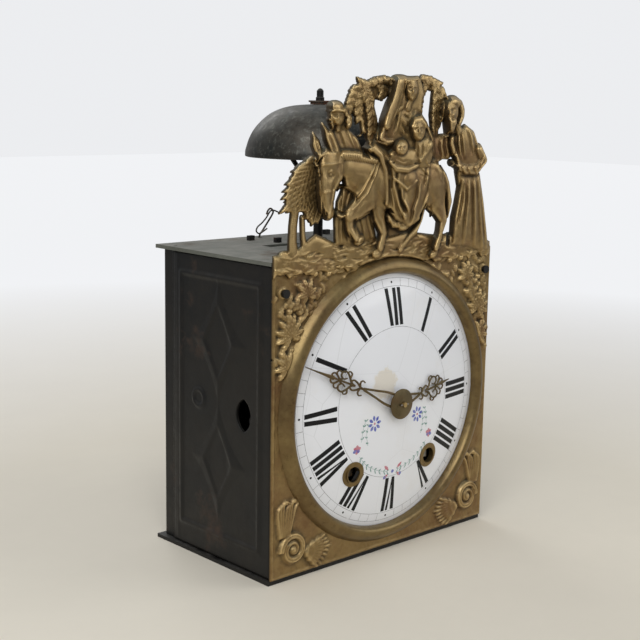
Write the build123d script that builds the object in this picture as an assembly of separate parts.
"""Comtoise clock movement with its enamel dial, pressed brass front and crest, at real size.

Millimetres. Origin at the centre of the bottom plate's underside, +X to the right as seen from
the dial, -Y out of the dial towards the viewer, +Z up.
"""
from build123d import *
import math
import os

# Case
CASE_WIDTH = 250.0
CASE_DEPTH = 146.0
CASE_HEIGHT = 252.0
PLATE = 3.0
SHEET = 1.2
POST_WIDTH = 7.0
FRONT_POST_DEPTH = 8.0
REAR_POST_DEPTH = 9.5
PLATE_REAR_LIP = 7.0
DOOR_INSET = 3.5
DOOR_GAP = 1.0
HINGE_RADIUS = 2.5
HINGE_PIN_RADIUS = 1.5
FINGER_Y = -38.5
FINGER_Z = 128.5
LATCH_Y = -52.0
LATCH_Z = 108.0
LATCH_PIN_RADIUS = 1.5
LATCH_THICKNESS = 1.6

# Clearances
RUNNING = 0.08
FITTED = 0.02
AIR = 0.3

# Dial and its brass front
DIAL_RADIUS = 108.0
BEZEL_INNER = 105.0
BEZEL_OUTER = 119.0
BEZEL_RISE = 8.0
DIAL_CROWN = 12.0
DIAL_THICKNESS = 1.4
DIAL_BANDS = 5
DIAL_Z = 129.0
SURROUND_LOW = 4.0
SURROUND_HIGH = 248.0
GROMMET_OUTER = 10.5
GROMMET_BORE = 6.5
GROMMET_FLANGE = 0.7
CORNER_SCREW_Z = 228.5

# Trains
TRAIN_X = 44.0
BAR_WIDTH = 14.0
BAR_THICKNESS = 5.0
FRONT_BAR_Y = -50.0
REAR_BAR_Y = 46.0
GREAT_DISTANCE = 53.0
SECOND_DISTANCE = 34.0
THIRD_DISTANCE = 29.0
PALLET_DISTANCE = 24.0
GREAT_TEETH = 60
SECOND_TEETH = 48
THIRD_TEETH = 45
PINION_LEAVES = 6
ESCAPE_TEETH = 30
ESCAPE_RADIUS = 17.0
PALLET_CLEARANCE = 1.0
WHEEL_THICKNESS = 2.4
DRUM_RADIUS = 19.0
DRUM_LENGTH = 42.0
WINDING_SQUARE = 5.0
PIVOT_RADIUS = 1.5
WINDING_PIVOT_RADIUS = 3.6
GREAT_PLANE = 29.5
SECOND_PLANE = 12.0
THIRD_PLANE = -8.0
ESCAPE_PLANE = -26.0
ARBOR_RADIUS = 4.5
RATCHET_RADIUS = 13.0
CLICK_X = 6.0
CLICK_Z = 17.2
WINDING_SQUARE_LENGTH = 28.0

# Motion work
MOTION_DISTANCE = 26.0
CANNON_TEETH = 30
CANNON_PINION = 10
IDLER_TEETH = 30
IDLER_PINION = 8
HOUR_TEETH = 32
SNAIL_RADIUS = 26.0
SNAIL_STEP = 1.6
SNAIL_STEPS = 12
STUD_RADIUS = 2.0
HUB_PLAY = 0.4
CANNON_RADIUS = 3.4
HOUR_PIPE_RADIUS = 5.2

# Hands
HAND_THICKNESS = 1.0
HOUR_HAND_CLEARANCE = 1.6
MINUTE_HAND_CLEARANCE = 3.3
MINUTE_HAND_LENGTH = 102.0
HOUR_HAND_LENGTH = 64.0
MINUTE_HAND_ANGLE = 293.5
HOUR_HAND_ANGLE = 81.0
HUB_RADIUS = 12.5

# Strike work above the plate
BELL_X = 0.0
BELL_Y = 12.0
BELL_RIM_Z = 324.0
BELL_RADIUS = 62.5
BELL_HEIGHT = 43.0
BELL_WALL = 2.4
BELL_POST_RADIUS = 4.0
BELL_STUD_RADIUS = 2.5
# shares of radius and height, from the lip over the shoulder to the crown
BELL_CURVE = ((1, 0), (0.98, 0.18), (0.905, 0.45), (0.785, 0.68), (0.61, 0.86), (0.4, 0.955), (0, 1))
HAMMER_X = -35.0
HAMMER_Y = 8.0
HAMMER_PIVOT_Z = 222.0
HAMMER_WIRE_RADIUS = 2.0
RACK_X = -30.0
RACK_WIDTH = 8.0
RACK_THICKNESS = 1.5
LEVER_PIVOT_Z = 222.0
WIRE_X = -23.0
WIRE_Y = 62.0
WIRE_RADIUS = 0.8
SUSPENSION_Z = 236.0
HAMMER_COCK_Y = (-12.5, 21.5)

# Crest
CREST_GROUND = 263.0

# Derived places
FRONT = -CASE_DEPTH / 2
REAR = CASE_DEPTH / 2
DECK = CASE_HEIGHT - PLATE
DOOR_FACE = CASE_WIDTH / 2 - DOOR_INSET
WIND_Z = DIAL_Z - GREAT_DISTANCE
THIRD_Z = DIAL_Z + SECOND_DISTANCE
FOURTH_Z = THIRD_Z + THIRD_DISTANCE
PALLET_Z = FOURTH_Z + PALLET_DISTANCE
SPHERE_RADIUS = (BEZEL_INNER**2 + DIAL_CROWN**2) / (2 * DIAL_CROWN)
SURROUND_HALF_WIDTH = CASE_WIDTH / 2 - 0.5
SURROUND_BACK = FRONT
SURROUND_FACE = FRONT - SHEET
DIAL_RIM_Y = FRONT - 1.6
DIAL_CROWN_Y = DIAL_RIM_Y - DIAL_CROWN
FRONT_PLATE_Y = DIAL_RIM_Y + 2.2
REAR_POST_Y = REAR - PLATE_REAR_LIP
POST_OUTER = DOOR_FACE - SHEET - AIR
CORNER_SCREW_X = POST_OUTER - 5.0
HINGE_X = DOOR_FACE - HINGE_RADIUS
HINGE_Y = REAR_POST_Y - REAR_POST_DEPTH - HINGE_RADIUS - 0.5
BAR_BACK = REAR_BAR_Y + BAR_THICKNESS
MINUTE_HAND_Y = DIAL_CROWN_Y - MINUTE_HAND_CLEARANCE
HOUR_HAND_Y = DIAL_CROWN_Y - HOUR_HAND_CLEARANCE
CANNON_Y = -57.0
IDLER_Y = -60.6
HOUR_WHEEL_Y = -64.2
SNAIL_Y = -67.2
RACK_Y = -69.6
CREST_HALF_WIDTH = CASE_WIDTH / 2 - 2.0
CREST_LOW = SURROUND_HIGH + 0.2
DOOR_FRONT = FRONT_PLATE_Y + SHEET + 0.8
DOOR_LOW = PLATE + DOOR_GAP
DOOR_HIGH = DECK - DOOR_GAP
LATCH_OUTER = DOOR_FACE - SHEET - 2.2
STUD_FRONT = MINUTE_HAND_Y - HAND_THICKNESS - 4.8
FRONT_PIVOT = FRONT_BAR_Y - 0.8
REAR_PIVOT = BAR_BACK + 0.8
SUSPENSION_COCK_Y = BAR_BACK + 2.0
HAMMER_BEND = (HAMMER_X + 15, 307.0)
HAMMER_END = (HAMMER_X - 6, 331.0)
LEVER_Y = BAR_BACK + 0.6
LEVER_REACH = TRAIN_X + WIRE_X
SIDES = {"left": -1, "right": 1}
TRAINS = {"strike": -1, "going": 1}


def block(x, y, z):
    """A box given by its low and high limits along each axis."""
    size = (x[1] - x[0], y[1] - y[0], z[1] - z[0])
    middle = ((x[0] + x[1]) / 2, (y[0] + y[1]) / 2, (z[0] + z[1]) / 2)
    return Pos(*middle) * Box(*size)


def facing(x, y, z):
    """Sketch plane at (x, y, z) with u to the right, v up and its normal towards the viewer."""
    return Plane(origin=(x, y, z), x_dir=(1, 0, 0), z_dir=(0, -1, 0))


def slab(sketch, x, back, z, thickness):
    """A sketch seen from the dial side, raised from its back plane towards the viewer."""
    return extrude(facing(x, back, z) * sketch, amount=thickness)


def y_rod(x, z, y, radius):
    """A rod along Y between the two values of y."""
    return slab(Circle(radius), x, y[1], z, y[1] - y[0])


def y_tube(x, z, y, outer, bore):
    """A tube along Y between the two values of y."""
    return slab(Circle(outer) - Circle(bore), x, y[1], z, y[1] - y[0])


def z_rod(x, y, z, radius):
    """A rod along Z between the two values of z."""
    return Pos(x, y, z[0]) * extrude(Circle(radius), amount=z[1] - z[0])


def polar(radius, degrees):
    """A point at a radius and an angle from +X."""
    return (radius * math.cos(math.radians(degrees)), radius * math.sin(math.radians(degrees)))


def group(*solids):
    """Separate solids of one node."""
    parts = []
    for solid in solids:
        parts.extend(solid.solids())
    return Compound(children=parts)


def tooth_ring(teeth, pitch_radius, first, addendum=0.55, dedendum=0.85, root=0.46, tip=0.2):
    """Outline of a spur wheel; first is the angle of one tooth's centre."""
    module = 2 * pitch_radius / teeth
    pitch = 360 / teeth
    points = []
    for k in range(teeth):
        centre = first + k * pitch
        low = pitch_radius - dedendum * module
        high = pitch_radius + addendum * module
        points.append(polar(low, centre - root * pitch / 2))
        points.append(polar(high, centre - tip * pitch / 2))
        points.append(polar(high, centre + tip * pitch / 2))
        points.append(polar(low, centre + root * pitch / 2))
    return make_face(Polyline(*points, close=True))


def saw_ring(teeth, outer, depth, first=0.0, lean=1):
    """Outline of a ratchet or escape wheel with leaning teeth."""
    pitch = 360 / teeth
    points = []
    for k in range(teeth):
        centre = first + k * pitch
        points.append(polar(outer, centre))
        points.append(polar(outer - depth, centre + lean * 0.12 * pitch))
        points.append(polar(outer - depth, centre + lean * 0.82 * pitch))
    if lean < 0:
        points.reverse()
    return make_face(Polyline(*points, close=True))


def crossings(rim, hub, arms, arm_width):
    """The windows between a wheel's arms."""
    windows = Circle(rim) - Circle(hub)
    for k in range(arms):
        windows -= Rot(0, 0, k * 360 / arms) * Pos(rim / 2, 0) * Rectangle(rim, arm_width)
    return windows


def crossed_wheel(outline, rim, hub, bore):
    """A wheel blank with four arms and a bore."""
    return outline - crossings(rim, hub, 4, 4.0) - Circle(bore)


def pitch_radii(distance, wheel, pinion):
    """Pitch radii of a wheel and a pinion at a centre distance."""
    return distance * wheel / (wheel + pinion), distance * pinion / (wheel + pinion)


GREAT_PITCH, SECOND_PINION_PITCH = pitch_radii(GREAT_DISTANCE, GREAT_TEETH, PINION_LEAVES)
SECOND_PITCH, THIRD_PINION_PITCH = pitch_radii(SECOND_DISTANCE, SECOND_TEETH, PINION_LEAVES)
THIRD_PITCH, FOURTH_PINION_PITCH = pitch_radii(THIRD_DISTANCE, THIRD_TEETH, PINION_LEAVES)


def leaf_pinion(pitch_radius, first, leaves=PINION_LEAVES):
    """Outline of a small pinion with slim leaves."""
    return tooth_ring(leaves, pitch_radius, first, addendum=0.5, dedendum=0.75, root=0.42, tip=0.2)


# Case

def bottom_plate():
    plate = block((-CASE_WIDTH / 2, CASE_WIDTH / 2), (FRONT, REAR), (0, PLATE))
    for side in (-1, 1):
        cord_x = side * (TRAIN_X + DRUM_RADIUS)
        plate -= Pos(cord_x, 0, 0) * Box(14, DRUM_LENGTH + 8, 3 * PLATE)
        plate -= z_rod(side * HINGE_X, HINGE_Y, (-1, PLATE + 1), HINGE_PIN_RADIUS + RUNNING)
        for bar_y in (FRONT_BAR_Y, REAR_BAR_Y):
            plate -= tenon(side * TRAIN_X, bar_y, (-1, PLATE + 1), RUNNING)
    plate -= Pos(TRAIN_X, BAR_BACK + 7, 0) * Box(44, 8, 3 * PLATE)
    return plate


def tenon(x, bar_y, z, extra=0.0):
    """The square end of a movement bar, with room round it when it is a hole."""
    half = 2.85 + extra
    middle = bar_y + BAR_THICKNESS / 2
    depth = BAR_THICKNESS / 2 - 0.6 + extra
    return block((x - half, x + half), (middle - depth, middle + depth), z)


def top_plate():
    plate = block((-CASE_WIDTH / 2, CASE_WIDTH / 2), (FRONT, REAR), (DECK, CASE_HEIGHT))
    hole = (DECK - 1, CASE_HEIGHT + 1)
    plate -= block((HAMMER_X - 26, HAMMER_X + 11), (HAMMER_Y - 6, HAMMER_Y + 6), hole)
    plate -= z_rod(WIRE_X, WIRE_Y, hole, WIRE_RADIUS + 1.6)
    plate -= z_rod(BELL_X, BELL_Y, hole, BELL_POST_RADIUS - 1 + RUNNING)
    for side in (-1, 1):
        plate -= z_rod(side * HINGE_X, HINGE_Y, hole, HINGE_PIN_RADIUS + RUNNING)
        for bar_y in (FRONT_BAR_Y, REAR_BAR_Y):
            plate -= tenon(side * TRAIN_X, bar_y, hole, RUNNING)
    for cock_y in HAMMER_COCK_Y:
        plate -= tenon(HAMMER_X, cock_y, hole, RUNNING)
    plate -= tenon(TRAIN_X, SUSPENSION_COCK_Y, hole, RUNNING)
    return plate


def post(side, y):
    """One corner post, standing between the plates."""
    outer = side * POST_OUTER
    inner = side * (POST_OUTER - POST_WIDTH)
    return block((min(outer, inner), max(outer, inner)), y, (PLATE, DECK))


def corner_posts():
    posts = []
    front_y = FRONT_PLATE_Y + SHEET
    for side in (-1, 1):
        front = post(side, (front_y, front_y + FRONT_POST_DEPTH)) - corner_screw_hole(side)
        posts.append(front + keeper(side, front_y + FRONT_POST_DEPTH))
        posts.append(post(side, (REAR_POST_Y - REAR_POST_DEPTH, REAR_POST_Y)))
    return group(*posts)


def keeper(side, post_back):
    """Small plate behind the front post that the latch's finger swings in behind."""
    outer = side * (LATCH_OUTER + AIR + SHEET)
    x = sorted((side * (LATCH_OUTER + AIR), outer))
    return block(x, (post_back - 1, post_back + 5.7), (LATCH_Z - 10, LATCH_Z - 4))


def front_plate():
    """Iron sheet behind the brass front, open behind the dial."""
    half = POST_OUTER
    sheet = block((-half, half), (FRONT_PLATE_Y, FRONT_PLATE_Y + SHEET), (PLATE + AIR, DECK - AIR))
    opening = y_rod(0, DIAL_Z, (FRONT_PLATE_Y - 1, FRONT_PLATE_Y + SHEET + 1), DIAL_RADIUS - 10)
    sheet -= opening
    for side in (-1, 1):
        sheet -= corner_screw_hole(side)
    return sheet


def corner_screw_hole(side):
    return y_rod(side * CORNER_SCREW_X, CORNER_SCREW_Z, (FRONT - 9, FRONT_PLATE_Y + 3), 1.6)


def back_panel():
    """Lift-off rear sheet with a turned top edge that hangs between the posts and the lip."""
    half = POST_OUTER
    panel = block((-half, half), (REAR_POST_Y, REAR_POST_Y + SHEET), (PLATE + AIR, DECK - AIR))
    bead = Rectangle(2 * half - 40, DECK - 50) - Rectangle(2 * half - 46, DECK - 56)
    panel += slab(bead, 0, REAR_POST_Y + SHEET + 0.8, DECK / 2, 0.8)
    return panel


def lozenge(half_width, half_height, waist):
    """Four-pointed figure with hollow sides."""
    inner = waist
    points = [(half_width, 0), (inner, inner), (0, half_height), (-inner, inner),
              (-half_width, 0), (-inner, -inner), (0, -half_height), (inner, -inner)]
    return make_face(Polyline(*points, close=True))


def door(side):
    """Side door: a sheet with pressed border, lozenges and finger hole, rolled round its hinge."""
    out = Plane(origin=(side * DOOR_FACE, 0, 0), x_dir=(0, 1, 0), z_dir=(1, 0, 0))
    inner = side * (DOOR_FACE - SHEET)
    x = (min(side * DOOR_FACE, inner), max(side * DOOR_FACE, inner))
    leaf = block(x, (DOOR_FRONT, HINGE_Y), (DOOR_LOW, DOOR_HIGH))
    leaf += z_rod(side * HINGE_X, HINGE_Y, (DOOR_LOW, DOOR_HIGH), HINGE_RADIUS)
    leaf += z_rod(side * HINGE_X, HINGE_Y, (0.5, CASE_HEIGHT - 0.5), HINGE_PIN_RADIUS)
    border_y = (DOOR_FRONT + 12.5, HINGE_Y - 11)
    middle = (sum(border_y) / 2, DIAL_Z)
    width = border_y[1] - border_y[0]
    frame = Rectangle(width, 207) - Rectangle(width - 5, 202)
    raised = Pos(*middle) * frame
    raised += Pos(middle[0], 181.8) * lozenge(19.5, 32, 7)
    raised += Pos(middle[0], 84.0) * lozenge(19.5, 32, 7)
    raised += Pos(18, 132.5) * (Circle(8.5) - Circle(6.0))
    leaf += extrude(out * raised, amount=side * 0.7)
    leaf -= extrude(out * finger_hole(), amount=2, both=True)
    collar_x = sorted((inner, side * (LATCH_OUTER + AIR)))
    pin_x = sorted((inner, side * (LATCH_OUTER - LATCH_THICKNESS - 1)))
    leaf += x_rod(LATCH_Y, LATCH_Z, collar_x, 3.0)
    return leaf + x_rod(LATCH_Y, LATCH_Z, pin_x, LATCH_PIN_RADIUS)


def finger_hole():
    """Leaf shape that a finger enters to turn the latch."""
    left = ThreePointArc((FINGER_Y, FINGER_Z - 13), (FINGER_Y - 8.5, FINGER_Z), (FINGER_Y, FINGER_Z + 13))
    right = ThreePointArc((FINGER_Y, FINGER_Z + 13), (FINGER_Y + 8.5, FINGER_Z), (FINGER_Y, FINGER_Z - 13))
    return make_face(left + right)


def x_rod(y, z, x, radius):
    """A rod along X between the two values of x."""
    plane = Plane(origin=(x[0], y, z), x_dir=(0, 1, 0), z_dir=(1, 0, 0))
    return extrude(plane * Circle(radius), amount=x[1] - x[0])


def latch(side):
    """Flat hook turning on the door's inner pin, with a thumb tab behind the finger hole."""
    x = sorted((side * LATCH_OUTER, side * (LATCH_OUTER - LATCH_THICKNESS)))
    plane = Plane(origin=(x[0], LATCH_Y, LATCH_Z), x_dir=(0, 1, 0), z_dir=(1, 0, 0))
    arm = Circle(4.2) + Pos(5, 8) * Rectangle(5, 17) + Pos(7, 16) * Circle(4.5)
    finger = Pos(-4.5, 2) * Rectangle(9, 4) + Pos(-8.2, 0.8) * Rectangle(3, 6.4)
    return extrude(plane * (arm + finger - Circle(LATCH_PIN_RADIUS + RUNNING)), amount=LATCH_THICKNESS)


# Dial and brass front

def cap_depth(y_crown, r):
    """Depth, at distance r from the axis, of a round cap that keeps its gap to the dial."""
    ball = SPHERE_RADIUS + (DIAL_CROWN_Y - y_crown)
    return y_crown + ball - math.sqrt(ball**2 - r**2)


def cap_band(y_crown, thickness, radius, bands=3):
    """A round cap in conical bands, with its crown at y_crown, following the dial's curve."""
    radii = [radius * k / bands for k in range(bands + 1)]
    front = [(r, cap_depth(y_crown, r)) for r in radii]
    back = [(r, cap_depth(y_crown + thickness, r)) for r in reversed(radii)]
    return Pos(0, 0, DIAL_Z) * revolve(make_face(Polyline(*front, *back, close=True)), axis=Axis.Y)


def dial():
    """Convex enamelled plate with its centre hole and two winding holes."""
    plate = cap_band(DIAL_CROWN_Y, DIAL_THICKNESS, DIAL_RADIUS, DIAL_BANDS)
    through = (DIAL_CROWN_Y - 5, FRONT + 5)
    plate -= y_rod(0, DIAL_Z, through, HOUR_PIPE_RADIUS + 2.5)
    for side in (-1, 1):
        plate -= y_rod(side * TRAIN_X, WIND_Z, through, GROMMET_BORE + 1.2)
    return plate


def dial_surface_y(x, z):
    """Depth of the dial's front at a point."""
    return DIAL_CROWN_Y + SPHERE_RADIUS - math.sqrt(SPHERE_RADIUS**2 - x**2 - (z - DIAL_Z) ** 2)


def grommets():
    """Brass rings lining the winding holes."""
    rings = []
    face = dial_surface_y(TRAIN_X, WIND_Z)
    flange = cap_band(DIAL_CROWN_Y - GROMMET_FLANGE - 0.1, GROMMET_FLANGE, DIAL_RADIUS, DIAL_BANDS)
    for side in (-1, 1):
        x = side * TRAIN_X
        ring = y_tube(x, WIND_Z, (face - 8, face + 8), GROMMET_OUTER, GROMMET_BORE) & flange
        sleeve = y_tube(x, WIND_Z, (face - 1.0, face + 4.0), GROMMET_BORE + 1.0, GROMMET_BORE)
        rings.append(ring + sleeve)
    return group(*rings)


def dial_surround():
    """Pressed brass front: flat field, rolled bezel, turned edge and raised corner ornament."""
    height = SURROUND_HIGH - SURROUND_LOW
    centre_z = (SURROUND_HIGH + SURROUND_LOW) / 2
    field = Rectangle(2 * SURROUND_HALF_WIDTH, height)
    sheet = slab(field, 0, SURROUND_BACK, centre_z, SHEET)
    sheet -= y_rod(0, DIAL_Z, (FRONT - 5, FRONT + 5), BEZEL_OUTER - 2)
    edge = Rectangle(2 * SURROUND_HALF_WIDTH, height)
    edge -= Rectangle(2 * SURROUND_HALF_WIDTH - 2 * SHEET, height - 2 * SHEET)
    sheet += slab(edge, 0, SURROUND_BACK + 0.6, centre_z, SHEET)
    sheet += bezel()
    for side in (-1, 1):
        sheet += corner_ornament(side)
        sheet -= corner_screw_hole(side)
    return sheet


def bezel():
    """Rolled ring round the dial: a step outside and a round nose that laps the dial's rim."""
    crest_y = SURROUND_FACE - BEZEL_RISE
    nose = (BEZEL_INNER + BEZEL_OUTER) / 2 - 1
    lip_y = DIAL_RIM_Y - AIR
    foot = BEZEL_OUTER - 2 - SHEET
    front = [
        (BEZEL_OUTER, SURROUND_FACE),
        (BEZEL_OUTER - 2, SURROUND_FACE - 3),
        (nose + 3.5, crest_y + 1),
        (nose - 1, crest_y),
        (BEZEL_INNER + 2, crest_y + 2.2),
        (BEZEL_INNER, lip_y - 2),
        (BEZEL_INNER, lip_y),
    ]
    back = [
        (BEZEL_INNER + SHEET, lip_y),
        (nose - 1, crest_y + 1.5 * SHEET),
        (nose + 3, crest_y + 2 * SHEET),
        (foot, SURROUND_BACK - 2),
        (foot, SURROUND_BACK),
        (BEZEL_OUTER, SURROUND_BACK),
    ]
    return Pos(0, 0, DIAL_Z) * revolve(make_face(Polyline(*front, *back, close=True)), axis=Axis.Y)


def corner_ornament(side):
    """Raised volute and leaves of the lower corner, vine leaf and grapes of the upper corner."""
    face = SURROUND_FACE + 0.2
    raised = slab(Circle(14), side * 102, face, 28, 3.5)
    raised += slab(Circle(6), side * 102, face - 3.3, 28, 2.5)
    raised += slab(Rot(0, 0, side * 20) * Ellipse(22, 9), side * 78, face, 21, 3.0)
    raised += slab(Rot(0, 0, side * 62) * Ellipse(13, 6), side * 111, face, 50, 2.5)
    raised += slab(RegularPolygon(21, 5, rotation=18), side * 97, face, 219, 3.5)
    raised += slab(Ellipse(7, 15), side * 116, face, 196, 5.0)
    raised -= y_rod(0, DIAL_Z, (FRONT - 12, FRONT), BEZEL_OUTER - 1)
    return raised


def surround_screws():
    """Dark screws that hold the brass front to the iron sheet."""
    screws = []
    for side in (-1, 1):
        x, z = side * CORNER_SCREW_X, CORNER_SCREW_Z
        head = y_rod(x, z, (SURROUND_FACE - 5.4, SURROUND_FACE - 3.5), 3.4)
        shank = y_rod(x, z, (SURROUND_FACE - 4.0, FRONT_PLATE_Y + 2.5), 1.5)
        screws.append(head + shank)
    return group(*screws)


# Crest

def ellipse_at(x, z, half_width, half_height, tilt=0.0):
    """Oval in ten straight sides."""
    corners = [polar(1.0, 36 * k) for k in range(10)]
    points = [(half_width * u, half_height * v) for u, v in corners]
    return Pos(x, z) * Rot(0, 0, tilt) * make_face(Polyline(*points, close=True))


def leaf_at(x, z, length, width, tilt):
    """Pointed leaf or limb, blunt at (x, z) and growing away from it."""
    half = width / 2
    points = [(0, -0.5 * half), (0, 0.5 * half), (0.35 * length, half), (0.75 * length, 0.6 * half),
              (length, 0), (0.75 * length, -0.6 * half), (0.35 * length, -half)]
    return Pos(x, z) * Rot(0, 0, tilt) * make_face(Polyline(*points, close=True))


def robe(low, high, foot, top):
    """Trapezium of a long garment: foot and top are (left, right) limits at the heights."""
    x = (foot[0] + foot[1] + top[0] + top[1]) / 4
    z = (low + high) / 2
    points = [(foot[0] - x, low - z), (foot[1] - x, low - z), (top[1] - x, high - z), (top[0] - x, high - z)]
    return Pos(x, z) * make_face(Polyline(*points, close=True))


def bough(x, z, radius, width, start, sweep):
    """Arched branch of leaves over the riders, in six straight lengths."""
    angles = [start + sweep * k / 6 for k in range(7)]
    outer = [polar(radius + width / 2, angle) for angle in angles]
    inner = [polar(radius - width / 2, angle) for angle in reversed(angles)]
    return Pos(x, z) * make_face(Polyline(*outer, *inner, close=True))


CREST_MOTIFS = (
    # donkey
    (ellipse_at(-18, 305, 47, 20, 4), 15.0),
    (ellipse_at(-66, 316, 27, 17, -12), 16.0),
    (ellipse_at(-93, 307, 11, 24, -8), 19.0),
    (leaf_at(-98, 326, 24, 8, 96), 12.0),
    (leaf_at(-90, 327, 24, 8, 78), 14.0),
    (leaf_at(-52, 300, 50, 18, -100), 13.0),
    (ellipse_at(-74, 279, 6, 19, 30), 16.0),
    (leaf_at(30, 300, 52, 17, -125), 13.0),
    (leaf_at(36, 312, 54, 20, -80), 15.0),
    # walking youth and his robe
    (ellipse_at(-71, 357, 9, 12), 8.0),
    (robe(322, 350, (-84, -48), (-80, -58)), 7.0),
    # seated woman and child
    (ellipse_at(-2, 378, 12, 14), 14.0),
    (robe(300, 372, (-36, 32), (-18, 12)), 15.0),
    (ellipse_at(14, 347, 9, 9), 18.0),
    (ellipse_at(-8, 330, 13, 8), 18.0),
    # bearded man
    (ellipse_at(56, 363, 13, 14), 12.0),
    (ellipse_at(72, 335, 22, 22), 13.0),
    (robe(258, 330, (64, 110), (60, 92)), 12.0),
    # tree and boughs
    (robe(255, 292, (-114, -101), (-112, -103)), 6.0),
    (leaf_at(-90, 288, 36, 30, 172), 7.0),
    (leaf_at(-88, 300, 38, 30, 152), 7.0),
)
BOUGHS = (
    bough(-30, 350, 31, 16, 55, 115),
    bough(22, 350, 28, 14, 0, 132),
)
BOUGH_RISE = 6.0


def crest():
    """Pressed brass relief standing on the top plate's front edge."""
    ground_height = CREST_GROUND - CREST_LOW
    ground = Pos(0, (CREST_GROUND + CREST_LOW) / 2) * Rectangle(2 * CREST_HALF_WIDTH, ground_height)
    outline = ground
    for shape, _ in CREST_MOTIFS:
        outline += shape
    for shape in BOUGHS:
        outline += shape
    outline += robe(CREST_GROUND - 1, 300, (-80, -30), (-60, -40))
    relief = slab(outline, 0, FRONT, 0, 2 * SHEET)
    relief += slab(ground, 0, FRONT, 0, 7.0)
    for shape in BOUGHS:
        relief += slab(shape, 0, FRONT - SHEET, 0, BOUGH_RISE)
    for shape, rise in CREST_MOTIFS:
        relief += swell(shape, rise)
    return relief


def shrunk(shape, share, y):
    """A copy of an outline, smaller about its own origin, standing at depth y."""
    return (facing(0, y, 0) * scale(shape, by=share)).face()


def swell(shape, rise, top_share=0.6):
    """A raised mass that narrows from just inside its outline to a smaller copy of it."""
    return loft([shrunk(shape, 0.96, FRONT - SHEET), shrunk(shape, top_share, FRONT - SHEET - rise)])


def crest_brackets():
    """Small angle irons that hold the crest upright on the top plate."""
    irons = []
    for x in (-75.0, 75.0):
        foot = block((x - 6, x + 6), (FRONT, FRONT + 14), (CASE_HEIGHT, CASE_HEIGHT + SHEET))
        upright = block((x - 6, x + 6), (FRONT, FRONT + SHEET), (CASE_HEIGHT, CREST_GROUND))
        rivet = z_rod(x, FRONT + 9, (CASE_HEIGHT, CASE_HEIGHT + 3), 2.2)
        irons.append(foot + upright + rivet)
    return group(*irons)


# Hands and motion work


def hand_outline(length, merge, loops, hub, tip_width):
    """Pierced hand along +u: two bars that meet, a cluster of scrolls and a pointed tip."""
    bars = make_face(Polyline((0, -hub * 0.75), (0, hub * 0.75), (merge, 1.4), (merge, -1.4), close=True))
    slit = make_face(Polyline((hub, 0), (hub, hub * 0.42), (merge * 0.93, 0), (hub, -hub * 0.42), close=True))
    outline = Circle(hub) + bars - slit
    start, end = loops
    step = (end - start) / 3
    for k, (size, spread) in enumerate(((0.5, 0.62), (0.62, 0.72), (0.45, 0.5))):
        centre = start + step * (k + 0.5)
        for way in (-1, 1):
            outline += Pos(centre, way * step * spread) * RegularPolygon(step * size, 10)
    for k, (size, spread) in enumerate(((0.27, 0.62), (0.36, 0.72), (0.22, 0.5))):
        centre = start + step * (k + 0.5)
        for way in (-1, 1):
            outline -= Pos(centre, way * step * spread) * RegularPolygon(step * size, 7)
    points = [(merge - 2, -1.2), (merge - 2, 1.2), (end, tip_width / 2), (length, 0.4), (length, -0.4),
              (end, -tip_width / 2)]
    return outline + make_face(Polyline(*points, close=True))


def hand(outline, angle, y_crown, bore, radius):
    """A hand bent to the dial's curve, clockwise from twelve."""
    turned = Rot(0, 0, 90 - angle) * (outline - Circle(bore + FITTED))
    blank = slab(turned, 0, y_crown + 30, DIAL_Z, 40)
    return blank & cap_band(y_crown - HAND_THICKNESS, HAND_THICKNESS, radius)


def minute_hand():
    outline = hand_outline(MINUTE_HAND_LENGTH, 51, (59, 83), 7.5, 3.4)
    return hand(outline, MINUTE_HAND_ANGLE, MINUTE_HAND_Y, CANNON_RADIUS, MINUTE_HAND_LENGTH + 2)


def hour_hand():
    outline = hand_outline(HOUR_HAND_LENGTH, 25, (34, 56), 8.5, 3.4)
    return hand(outline, HOUR_HAND_ANGLE, HOUR_HAND_Y, HOUR_PIPE_RADIUS, HOUR_HAND_LENGTH + 2)


def hub_washer():
    """Domed brass washer in front of the minute hand."""
    back = MINUTE_HAND_Y - HAND_THICKNESS - 0.1
    dome = Polyline((STUD_RADIUS + HUB_PLAY, back), (HUB_RADIUS, back), (HUB_RADIUS, back - 0.8))
    crown = (STUD_RADIUS + HUB_PLAY, back - 2.5)
    arc = ThreePointArc((HUB_RADIUS, back - 0.8), (HUB_RADIUS * 0.6, back - 2.0), crown)
    profile = make_face(dome + arc + Line((STUD_RADIUS + HUB_PLAY, back - 2.5), (STUD_RADIUS + HUB_PLAY, back)))
    return Pos(0, 0, DIAL_Z) * revolve(profile, axis=Axis.Y)


def hub_pin():
    """Taper pin through the end of the centre stud."""
    y = STUD_FRONT + 1.2
    plane = Plane(origin=(-4.5, y, DIAL_Z), x_dir=(0, 1, 0), z_dir=(1, 0, 0))
    return extrude(plane * Circle(0.7), amount=9)


def motion_bridge():
    """Brass strap across the front bars with the centre stud and the idler's stud."""
    y = (FRONT_BAR_Y - 3, FRONT_BAR_Y)
    strap = block((-TRAIN_X - 7, TRAIN_X + 7), y, (DIAL_Z - 7, DIAL_Z + 7))
    for side in (-1, 1):
        strap -= y_rod(side * TRAIN_X, DIAL_Z, (y[0] - 1, y[1] + 1), 4.0)
    centre = y_rod(0, DIAL_Z, (STUD_FRONT, y[0] + 1), STUD_RADIUS)
    plane = Plane(origin=(-6, STUD_FRONT + 1.2, DIAL_Z), x_dir=(0, 1, 0), z_dir=(1, 0, 0))
    centre -= extrude(plane * Circle(0.7), amount=12)
    idler = y_rod(-MOTION_DISTANCE, DIAL_Z, (HOUR_WHEEL_Y - 1.2, y[0] + 1), STUD_RADIUS)
    return strap + centre + idler


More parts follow.
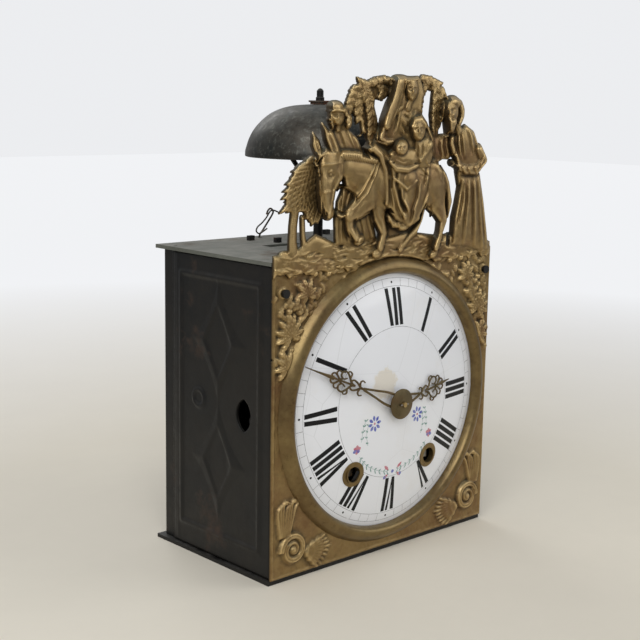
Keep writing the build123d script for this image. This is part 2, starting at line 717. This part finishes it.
def cannon_wheel():
    """Wheel and pinion on the long pipe that carries the minute hand."""
    pitch = TRAIN_X / 2
    wheel = tooth_ring(CANNON_TEETH, pitch, 0)
    wheel = slab(wheel - crossings(pitch - 4.5, 7, 3, 4), 0, CANNON_Y + 2, DIAL_Z, 2)
    pinion_pitch, _ = pitch_radii(MOTION_DISTANCE, CANNON_PINION, IDLER_TEETH)
    pinion = slab(tooth_ring(CANNON_PINION, pinion_pitch, 180), 0, CANNON_Y + 0.5, DIAL_Z, 4.6)
    pipe = y_rod(0, DIAL_Z, (MINUTE_HAND_Y - HAND_THICKNESS, CANNON_Y + 2.6), CANNON_RADIUS - RUNNING)
    whole = wheel + pinion + pipe
    return whole - y_rod(0, DIAL_Z, (STUD_FRONT - 2, FRONT_BAR_Y), STUD_RADIUS + RUNNING)


def minute_wheel():
    """Idler that steps the cannon pinion down to the hour wheel."""
    x = -MOTION_DISTANCE
    _, pitch = pitch_radii(MOTION_DISTANCE, CANNON_PINION, IDLER_TEETH)
    gap = 180 / IDLER_TEETH
    wheel = tooth_ring(IDLER_TEETH, pitch, gap)
    wheel = slab(wheel - crossings(pitch - 4, 6, 3, 3.5), x, IDLER_Y + 2, DIAL_Z, 2)
    pinion_pitch, _ = pitch_radii(MOTION_DISTANCE, IDLER_PINION, HOUR_TEETH)
    pinion = slab(leaf_pinion(pinion_pitch, 0, IDLER_PINION), x, IDLER_Y + 0.5, DIAL_Z, 5.2)
    whole = wheel + pinion
    return whole - y_rod(x, DIAL_Z, (RACK_Y - 5, FRONT_BAR_Y), STUD_RADIUS + RUNNING)


def hour_wheel():
    """Wheel on the short pipe that carries the hour hand."""
    pitch, _ = pitch_radii(MOTION_DISTANCE, HOUR_TEETH, IDLER_PINION)
    wheel = tooth_ring(HOUR_TEETH, pitch, 180 + 180 / HOUR_TEETH)
    wheel = slab(wheel - crossings(pitch - 4, 8, 3, 3.5), 0, HOUR_WHEEL_Y + 1.8, DIAL_Z, 1.8)
    pipe = y_rod(0, DIAL_Z, (HOUR_HAND_Y - HAND_THICKNESS, HOUR_WHEEL_Y + 1.8), HOUR_PIPE_RADIUS)
    return wheel + pipe - y_rod(0, DIAL_Z, (HOUR_HAND_Y - 5, HOUR_WHEEL_Y + 3), CANNON_RADIUS)


def hour_snail():
    """Stepped cam that counts the hours to be struck."""
    points = []
    for k in range(SNAIL_STEPS):
        radius = SNAIL_RADIUS - k * SNAIL_STEP
        points.append(polar(radius, k * 30))
        points.append(polar(radius, k * 30 + 15))
        points.append(polar(radius, k * 30 + 29.5))
    snail = make_face(Polyline(*points, close=True)) - Circle(HOUR_PIPE_RADIUS)
    return slab(snail, 0, SNAIL_Y + 1.5, DIAL_Z, 1.5)


# Trains

def bar(x, y):
    """Vertical movement bar with its two tenons and the pivot holes of one train."""
    body = block((x - BAR_WIDTH / 2, x + BAR_WIDTH / 2), (y, y + BAR_THICKNESS), (PLATE, DECK))
    body += tenon(x, y, (0.5, CASE_HEIGHT + 4.2))
    through = (y - 1, y + BAR_THICKNESS + 1)
    body -= y_rod(x, WIND_Z, through, WINDING_PIVOT_RADIUS + RUNNING)
    heights = [DIAL_Z, THIRD_Z, FOURTH_Z]
    if x > 0:
        heights.append(PALLET_Z)
    for z in heights:
        body -= y_rod(x, z, through, PIVOT_RADIUS + RUNNING)
    return body


def movement_bars(y):
    return group(bar(-TRAIN_X, y), bar(TRAIN_X, y))


def great_wheel(side):
    """Great wheel, loose on the winding arbor, with its click's pin."""
    plane_y = side * GREAT_PLANE
    outline = tooth_ring(GREAT_TEETH, GREAT_PITCH, 90)
    blank = outline - crossings(GREAT_PITCH - 6, 24, 4, 7) - Circle(ARBOR_RADIUS + RUNNING)
    wheel = slab(blank, side * TRAIN_X, plane_y + WHEEL_THICKNESS / 2, WIND_Z, WHEEL_THICKNESS)
    inner = plane_y - side * WHEEL_THICKNESS / 2
    pin = sorted((inner + side * 0.5, inner - side * 3.2))
    return wheel + y_rod(side * TRAIN_X + CLICK_X, WIND_Z + CLICK_Z, pin, 1.5)


def click(side):
    """Pawl on the great wheel, resting just clear of the ratchet teeth."""
    inner = side * GREAT_PLANE - side * (WHEEL_THICKNESS / 2 + AIR)
    y = sorted((inner, inner - side * 2.0))
    upper = ((2.4, 1.2), (-2.4, 3.0), (-14.5, -3.2))
    lower = ((-14.2, -5.4), (-1.8, -2.4), (2.0, -1.8))
    nose = make_face(Polyline(*upper, *lower, close=True))
    blank = Circle(3.2) + nose - Circle(1.5 + RUNNING)
    x = side * TRAIN_X + CLICK_X
    return slab(blank, x, y[1], WIND_Z + CLICK_Z, 2.0)


def winding_arbor(side):
    """Arbor with the winding square in front, its ratchet wheel and both pivots."""
    x = side * TRAIN_X
    shaft = y_rod(x, WIND_Z, (FRONT_BAR_Y + BAR_THICKNESS + AIR, REAR_BAR_Y - AIR), ARBOR_RADIUS)
    pivots = y_rod(x, WIND_Z, (FRONT_BAR_Y - 1.5, BAR_BACK + 1.0), WINDING_PIVOT_RADIUS)
    section = Rectangle(WINDING_SQUARE, WINDING_SQUARE)
    square = slab(section, x, FRONT_BAR_Y, WIND_Z, WINDING_SQUARE_LENGTH)
    inner = side * GREAT_PLANE - side * (WHEEL_THICKNESS / 2 + AIR)
    y = sorted((inner, inner - side * 2.0))
    ratchet = slab(saw_ring(16, RATCHET_RADIUS, 2.0), x, y[1], WIND_Z, 2.0)
    return shaft + pivots + square + ratchet


def drum(side):
    """Wooden-cored brass drum that the line winds on, between two flanges."""
    near = side * (GREAT_PLANE - WHEEL_THICKNESS / 2 - 4.0)
    far = near - side * DRUM_LENGTH
    y = sorted((near, far))
    body = y_rod(side * TRAIN_X, WIND_Z, y, DRUM_RADIUS - 1.5)
    for end in ((y[0], y[0] + 1.6), (y[1] - 1.6, y[1])):
        body += y_rod(side * TRAIN_X, WIND_Z, end, DRUM_RADIUS)
    return body - y_rod(side * TRAIN_X, WIND_Z, (y[0] - 1, y[1] + 1), ARBOR_RADIUS)


def train_arbor(side, z, radius, front, rear):
    """Plain arbor with thinner pivots through both bars."""
    x = side * TRAIN_X
    body = y_rod(x, z, (FRONT_BAR_Y + BAR_THICKNESS + AIR, REAR_BAR_Y - AIR), radius)
    return body + y_rod(x, z, (front, rear), PIVOT_RADIUS)


def pinion_at(side, z, plane_y, pitch, gap_down):
    """Leaf pinion with a gap straight down for the tooth below it."""
    first = -90 + (180 / PINION_LEAVES if gap_down else 0)
    return slab(leaf_pinion(pitch, first), side * TRAIN_X, plane_y + 3.5, z, 7.0)


def wheel_at(side, z, plane_y, teeth, pitch, hub):
    """Crossed train wheel with a tooth straight up."""
    blank = crossed_wheel(tooth_ring(teeth, pitch, 90), pitch - 4.5, hub, 0.6)
    return slab(blank, side * TRAIN_X, plane_y + WHEEL_THICKNESS / 2, z, WHEEL_THICKNESS)


def second_arbor(side):
    """Second wheel and pinion; the going side carries the motion-work drive on its front end."""
    front = CANNON_Y - 1.0 if side > 0 else FRONT_PIVOT
    whole = train_arbor(side, DIAL_Z, 2.5, front, REAR_PIVOT)
    whole += pinion_at(side, DIAL_Z, side * GREAT_PLANE, SECOND_PINION_PITCH, True)
    whole += wheel_at(side, DIAL_Z, side * SECOND_PLANE, SECOND_TEETH, SECOND_PITCH, 7)
    if side < 0:
        whole += strike_pins()
    return whole


def strike_pins():
    """Eight lifting pins on the strike train's second wheel."""
    pins = None
    y = (-SECOND_PLANE + WHEEL_THICKNESS / 2 - 0.5, -SECOND_PLANE + WHEEL_THICKNESS / 2 + 6)
    for k in range(8):
        u, v = polar(SECOND_PITCH - 3.0, 22.5 + 45 * k)
        pin = y_rod(-TRAIN_X + u, DIAL_Z + v, y, 1.2)
        pins = pin if pins is None else pins + pin
    return pins


def drive_wheel():
    """Wheel on the going second arbor that turns the cannon wheel."""
    pitch = TRAIN_X / 2
    outline = tooth_ring(CANNON_TEETH, pitch, 180 + 180 / CANNON_TEETH)
    outline = outline - crossings(pitch - 4.5, 6, 3, 4) - Circle(PIVOT_RADIUS)
    return slab(outline, TRAIN_X, CANNON_Y + 2, DIAL_Z, 2)


def third_arbor(side):
    whole = train_arbor(side, THIRD_Z, 2.0, third_front(side), REAR_PIVOT)
    whole += pinion_at(side, THIRD_Z, side * SECOND_PLANE, THIRD_PINION_PITCH, True)
    return whole + wheel_at(side, THIRD_Z, side * THIRD_PLANE, THIRD_TEETH, THIRD_PITCH, 6)


def third_front(side):
    """The strike side reaches forward to its gathering cam."""
    return RACK_Y - 0.6 if side < 0 else FRONT_PIVOT


def gathering_cam():
    """Two-lobed cam that lifts the rack one tooth for each turn."""
    reach = TRAIN_X - abs(RACK_X) - RACK_WIDTH / 2 - 0.5
    blank = SlotOverall(2 * reach, 4.0) + Circle(4) - Circle(PIVOT_RADIUS + FITTED)
    return slab(Rot(0, 0, 70) * blank, -TRAIN_X, RACK_Y + RACK_THICKNESS, THIRD_Z, RACK_THICKNESS)


def escape_arbor():
    whole = train_arbor(1, FOURTH_Z, 1.6, FRONT_PIVOT, REAR_PIVOT)
    return whole + pinion_at(1, FOURTH_Z, THIRD_PLANE, FOURTH_PINION_PITCH, True)


def escape_wheel():
    outline = saw_ring(ESCAPE_TEETH, ESCAPE_RADIUS, 3.2) - crossings(ESCAPE_RADIUS - 5.5, 4.5, 3, 2.6)
    outline = outline - Circle(1.6)
    return slab(outline, TRAIN_X, ESCAPE_PLANE + 0.8, FOURTH_Z, 1.6)


def fly():
    """Air brake of the strike train: arbor, pinion and a two-sided vane."""
    whole = train_arbor(-1, FOURTH_Z, 1.6, FRONT_PIVOT, REAR_PIVOT)
    whole += pinion_at(-1, FOURTH_Z, -THIRD_PLANE, FOURTH_PINION_PITCH, True)
    vane = Rot(0, 0, 30) * Rectangle(38, 0.8) + Circle(2.4)
    return whole + slab(vane, -TRAIN_X, 43, FOURTH_Z, 17)


def pallet_anchor():
    """Anchor with its two pallets just outside the tips of the escape wheel."""
    tip = ESCAPE_RADIUS + PALLET_CLEARANCE
    drop = PALLET_DISTANCE
    ring = Pos(0, -drop) * (Circle(tip + 5.5) - Circle(tip))
    wedge = make_face(Polyline((0, -drop), (-19, 14), (19, 14), close=True))
    arch = ring & wedge
    blank = arch + Circle(4.5) - Circle(1.6)
    return slab(blank, TRAIN_X, ESCAPE_PLANE + 1.2, PALLET_Z, 2.4)


def pallet_arbor():
    """Pallet arbor with the crutch behind the rear bar."""
    whole = train_arbor(1, PALLET_Z, 1.6, FRONT_PIVOT, BAR_BACK + 7)
    y = BAR_BACK + 5
    stem = z_rod(TRAIN_X, y, (PALLET_Z - 88, PALLET_Z), 1.25)
    fork = block((TRAIN_X - 4, TRAIN_X + 4), (y - 1.2, y + 1.2), (PALLET_Z - 90, PALLET_Z - 87))
    for way in (-1, 1):
        tine_x = sorted((TRAIN_X + way * 2.6, TRAIN_X + way * 4.0))
        fork += block(tine_x, (y - 1.2, y + 7), (PALLET_Z - 90, PALLET_Z - 87))
    return whole + stem + fork + y_rod(TRAIN_X, PALLET_Z, (y - 2, y + 2), 2.6)


def suspension_cock():
    """Bracket under the top plate with the slit that the pendulum's spring hangs in."""
    x, y = TRAIN_X, SUSPENSION_COCK_Y
    body = block((x - 5, x + 5), (BAR_BACK, BAR_BACK + 11), (SUSPENSION_Z, DECK))
    body += tenon(x, y, (DECK, CASE_HEIGHT + 2.0))
    body -= block((x - 0.4, x + 0.4), (BAR_BACK + 4, BAR_BACK + 12), (SUSPENSION_Z - 1, SUSPENSION_Z + 8))
    return body


# Strike work


def hammer_cocks():
    """Two iron cocks hanging from the top plate that carry the hammer's arbor."""
    cocks = []
    for y in HAMMER_COCK_Y:
        body = block((HAMMER_X - 4, HAMMER_X + 4), (y, y + BAR_THICKNESS), (HAMMER_PIVOT_Z - 7, DECK))
        body += tenon(HAMMER_X, y, (DECK, CASE_HEIGHT + 4.2))
        through = (y - 1, y + BAR_THICKNESS + 1)
        cocks.append(body - y_rod(HAMMER_X, HAMMER_PIVOT_Z, through, PIVOT_RADIUS + RUNNING))
    return group(*cocks)


def hammer_arbor():
    """Hammer arbor with its tail and the bent wire that rises through the plate into the bell."""
    y = (HAMMER_COCK_Y[0] + BAR_THICKNESS + AIR, HAMMER_COCK_Y[1] - AIR)
    whole = y_rod(HAMMER_X, HAMMER_PIVOT_Z, y, 3.0)
    ends = (HAMMER_COCK_Y[0] - 0.8, HAMMER_COCK_Y[1] + BAR_THICKNESS + 0.8)
    whole += y_rod(HAMMER_X, HAMMER_PIVOT_Z, ends, PIVOT_RADIUS)
    tail = make_face(Polyline((-2.5, 0), (2.5, 0), (8.6, -68), (4.0, -70), close=True))
    whole += slab(tail, HAMMER_X, 1.2, HAMMER_PIVOT_Z, 2.4)
    path = hammer_path()
    section = Plane(origin=path @ 0, z_dir=path % 0) * Circle(HAMMER_WIRE_RADIUS)
    return whole + sweep(section, path=path)


def hammer_path():
    points = [(HAMMER_X, HAMMER_Y, HAMMER_PIVOT_Z), (HAMMER_X, HAMMER_Y, CASE_HEIGHT + 8),
              (HAMMER_BEND[0], HAMMER_Y, HAMMER_BEND[1]), (HAMMER_END[0], HAMMER_Y, HAMMER_END[1])]
    return FilletPolyline(*points, radius=[12, 7])


def hammer_head():
    """Iron head inside the bell, square to its wall."""
    along = Vector(HAMMER_END[0] - HAMMER_BEND[0], 0, HAMMER_END[1] - HAMMER_BEND[1]).normalized()
    end = Vector(HAMMER_END[0], HAMMER_Y, HAMMER_END[1])
    start = end - along * 3
    plane = Plane(origin=start, z_dir=along)
    head = extrude(plane * Circle(5.5), amount=10)
    return head - extrude(plane * Circle(HAMMER_WIRE_RADIUS), amount=3)


def bell():
    """Round bell with a thin lip, hollow underneath."""
    wall = (BELL_RADIUS - BELL_WALL) / BELL_RADIUS
    outer = [(share * BELL_RADIUS, rise * BELL_HEIGHT) for share, rise in BELL_CURVE]
    inner = [(r * wall, z * (1 - BELL_WALL / BELL_HEIGHT)) for r, z in reversed(outer)]
    solid = revolve(make_face(Plane.XZ * Polyline(*outer, *inner, close=True)), axis=Axis.Z)
    solid -= extrude(Circle(BELL_STUD_RADIUS + RUNNING), amount=BELL_HEIGHT + 5)
    return Pos(BELL_X, BELL_Y, BELL_RIM_Z) * solid


def bell_post():
    """Threaded iron post with a collar on the plate and a seat for the bell."""
    top = BELL_RIM_Z + BELL_HEIGHT
    seat = top - BELL_WALL - 0.35
    post_body = z_rod(BELL_X, BELL_Y, (CASE_HEIGHT, seat), BELL_POST_RADIUS)
    post_body += z_rod(BELL_X, BELL_Y, (DECK - 5, CASE_HEIGHT), BELL_POST_RADIUS - 1)
    post_body += z_rod(BELL_X, BELL_Y, (seat, top + 11), BELL_STUD_RADIUS)
    post_body += z_rod(BELL_X, BELL_Y, (CASE_HEIGHT, CASE_HEIGHT + 3), 7.5)
    return post_body


def bell_washers():
    """Square-edged washer and plate on the bell's crown."""
    top = BELL_RIM_Z + BELL_HEIGHT
    washer = z_rod(BELL_X, BELL_Y, (top, top + 1.8), 13.0)
    cap = z_rod(BELL_X, BELL_Y, (top + 1.8, top + 3.2), 16.0)
    bore = z_rod(BELL_X, BELL_Y, (top - 1, top + 5), BELL_STUD_RADIUS + RUNNING)
    return washer + cap - bore


def bell_nuts():
    """Finial nut on top and the square nut under the plate."""
    top = BELL_RIM_Z + BELL_HEIGHT + 3.2
    bore = BELL_STUD_RADIUS + RUNNING
    flank = [(bore, 0), (4.2, 0), (4.2, 5), (3.4, 7.5), (0, 10), (0, 8), (bore, 8)]
    finial = revolve(make_face(Plane.XZ * Polyline(*flank, close=True)), axis=Axis.Z)
    finial = Pos(BELL_X, BELL_Y, top) * finial
    under = block((BELL_X - 6, BELL_X + 6), (BELL_Y - 6, BELL_Y + 6), (DECK - 4, DECK))
    under -= z_rod(BELL_X, BELL_Y, (DECK - 6, DECK + 1), BELL_POST_RADIUS - 1 + RUNNING)
    return group(finial, under)


def rack():
    """Vertical toothed rack with the arm that falls towards the snail."""
    low, high = DIAL_Z + 20, 238.0
    left = RACK_X - RACK_WIDTH / 2
    stem = Pos(RACK_X, (low + high) / 2) * Rectangle(RACK_WIDTH, high - low)
    tip = (left + 1.6, 0.3)
    notch = make_face(Polyline((left - 0.1, 0), tip, (left - 0.1, SNAIL_STEP * 0.9), close=True))
    for k in range(SNAIL_STEPS):
        stem -= Pos(0, THIRD_Z + 2 + k * SNAIL_STEP) * notch
    arm_z = DIAL_Z + SNAIL_RADIUS + 7
    arm = Pos(RACK_X / 2, arm_z) * Rectangle(abs(RACK_X), 6) + Pos(0, arm_z - 2) * Circle(5)
    return slab(stem + arm, 0, RACK_Y + RACK_THICKNESS, 0, RACK_THICKNESS)


def rack_guides():
    """Two brass blocks on the left front bar that the rack slides in."""
    guides = []
    for z in (THIRD_Z + 20, THIRD_Z + 45):
        x = (-TRAIN_X - 4, RACK_X + RACK_WIDTH / 2 + 4)
        block_body = block(x, (RACK_Y - 1.4, FRONT_BAR_Y), (z, z + 5))
        slot_x = (RACK_X - RACK_WIDTH / 2 - 0.1, RACK_X + RACK_WIDTH / 2 + 0.1)
        slot_y = (RACK_Y - 0.1, RACK_Y + RACK_THICKNESS + 0.1)
        guides.append(block_body - block(slot_x, slot_y, (z - 1, z + 6)))
    return group(*guides)


def lever_stud():
    """Shouldered stud on the left rear bar that the repeat lever turns on."""
    stud = y_rod(-TRAIN_X, LEVER_PIVOT_Z, (BAR_BACK, LEVER_Y + 2.4), 1.8)
    return stud + y_rod(-TRAIN_X, LEVER_PIVOT_Z, (LEVER_Y + 2.3, LEVER_Y + 3.3), 3.0)


def repeat_lever():
    """Iron lever that the pull wire lifts to make the clock strike again."""
    plate = SlotOverall(LEVER_REACH + 34, 6)
    blank = Pos((LEVER_REACH - 16) / 2 - 1, 0) * plate - Circle(1.8 + RUNNING)
    lever = slab(blank, -TRAIN_X, LEVER_Y + 2.0, LEVER_PIVOT_Z, 2.0)
    tab_x = (WIRE_X - 3, WIRE_X + 3)
    tab = block(tab_x, (LEVER_Y + 0.5, WIRE_Y + 2.6), (LEVER_PIVOT_Z - 1, LEVER_PIVOT_Z + 1))
    return lever + tab - z_rod(WIRE_X, WIRE_Y, (LEVER_PIVOT_Z - 4, LEVER_PIVOT_Z + 4), WIRE_RADIUS + 0.35)


def repeat_wire():
    """Stiff pull wire with a stop below the lever and an eye above the plate."""
    eye_z = CASE_HEIGHT + 20
    path = FilletPolyline(
        (WIRE_X, WIRE_Y, LEVER_PIVOT_Z - 3.0),
        (WIRE_X, WIRE_Y, CASE_HEIGHT + 2),
        (WIRE_X + 14, WIRE_Y, eye_z),
        (WIRE_X + 9, WIRE_Y, eye_z + 6),
        (WIRE_X + 4, WIRE_Y, eye_z - 1),
        radius=[6, 2.2, 2.2],
    )
    section = Plane(origin=path @ 0, z_dir=path % 0) * RegularPolygon(WIRE_RADIUS, 8)
    stop = z_rod(WIRE_X, WIRE_Y, (LEVER_PIVOT_Z - 2.5 - AIR, LEVER_PIVOT_Z - 1 - AIR), 2.2)
    return sweep(section, path=path) + stop


def pull_wires():
    """Bent iron wires hooked into the eye."""
    eye_z = CASE_HEIGHT + 20
    link = FilletPolyline(
        (WIRE_X + 16.5, WIRE_Y - 1.9, eye_z + 1),
        (WIRE_X + 9, WIRE_Y - 1.9, eye_z + 3.5),
        (WIRE_X + 2, WIRE_Y - 1.9, eye_z - 6),
        (WIRE_X - 3.5, WIRE_Y - 1.9, eye_z - 12.0),
        (WIRE_X + 6, WIRE_Y - 1.9, eye_z - 15.5),
        radius=[2.4, 6, 2.4],
    )
    section = Plane(origin=link @ 0, z_dir=link % 0) * RegularPolygon(WIRE_RADIUS * 0.8, 6)
    return sweep(section, path=link)


def hammer_stop():
    """Leaf spring under the plate that keeps the hammer off the bell after its blow."""
    near = HAMMER_X - HAMMER_WIRE_RADIUS - AIR
    foot = block((near - 10, near), (HAMMER_Y - 12, HAMMER_Y - 4), (DECK - 3, DECK))
    return foot + block((near - 1.6, near), (HAMMER_Y - 12, HAMMER_Y + 2), (HAMMER_PIVOT_Z + 4, DECK - 3))


def build():
    """Every node by name."""
    nodes = {
        "bottom_plate": bottom_plate(),
        "top_plate": top_plate(),
        "corner_posts": corner_posts(),
        "front_plate": front_plate(),
        "back_panel": back_panel(),
        "dial": dial(),
        "dial_grommets": grommets(),
        "dial_surround": dial_surround(),
        "surround_screws": surround_screws(),
        "crest": crest(),
        "crest_brackets": crest_brackets(),
        "minute_hand": minute_hand(),
        "hour_hand": hour_hand(),
        "hub_washer": hub_washer(),
        "hub_pin": hub_pin(),
        "motion_bridge": motion_bridge(),
        "cannon_wheel": cannon_wheel(),
        "minute_wheel": minute_wheel(),
        "hour_wheel": hour_wheel(),
        "hour_snail": hour_snail(),
        "front_bars": movement_bars(FRONT_BAR_Y),
        "rear_bars": movement_bars(REAR_BAR_Y),
        "drive_wheel": drive_wheel(),
        "gathering_cam": gathering_cam(),
        "escape_arbor": escape_arbor(),
        "escape_wheel": escape_wheel(),
        "fly": fly(),
        "pallet_anchor": pallet_anchor(),
        "pallet_arbor": pallet_arbor(),
        "suspension_cock": suspension_cock(),
        "hammer_cocks": hammer_cocks(),
        "hammer_arbor": hammer_arbor(),
        "hammer_head": hammer_head(),
        "hammer_stop": hammer_stop(),
        "bell": bell(),
        "bell_post": bell_post(),
        "bell_washers": bell_washers(),
        "bell_nuts": bell_nuts(),
        "rack": rack(),
        "rack_guides": rack_guides(),
        "lever_stud": lever_stud(),
        "repeat_lever": repeat_lever(),
        "repeat_wire": repeat_wire(),
        "pull_wires": pull_wires(),
    }
    for name, side in SIDES.items():
        nodes[f"{name}_door"] = door(side)
        nodes[f"{name}_latch"] = latch(side)
    for name, side in TRAINS.items():
        nodes[f"{name}_great_wheel"] = great_wheel(side)
        nodes[f"{name}_click"] = click(side)
        nodes[f"{name}_winding_arbor"] = winding_arbor(side)
        nodes[f"{name}_drum"] = drum(side)
        nodes[f"{name}_second_wheel"] = second_arbor(side)
        nodes[f"{name}_third_wheel"] = third_arbor(side)
    return nodes


def main():
    os.makedirs("parts", exist_ok=True)
    for name, shape in build().items():
        export_step(shape, f"parts/{name}.step")


if __name__ == "__main__":
    main()
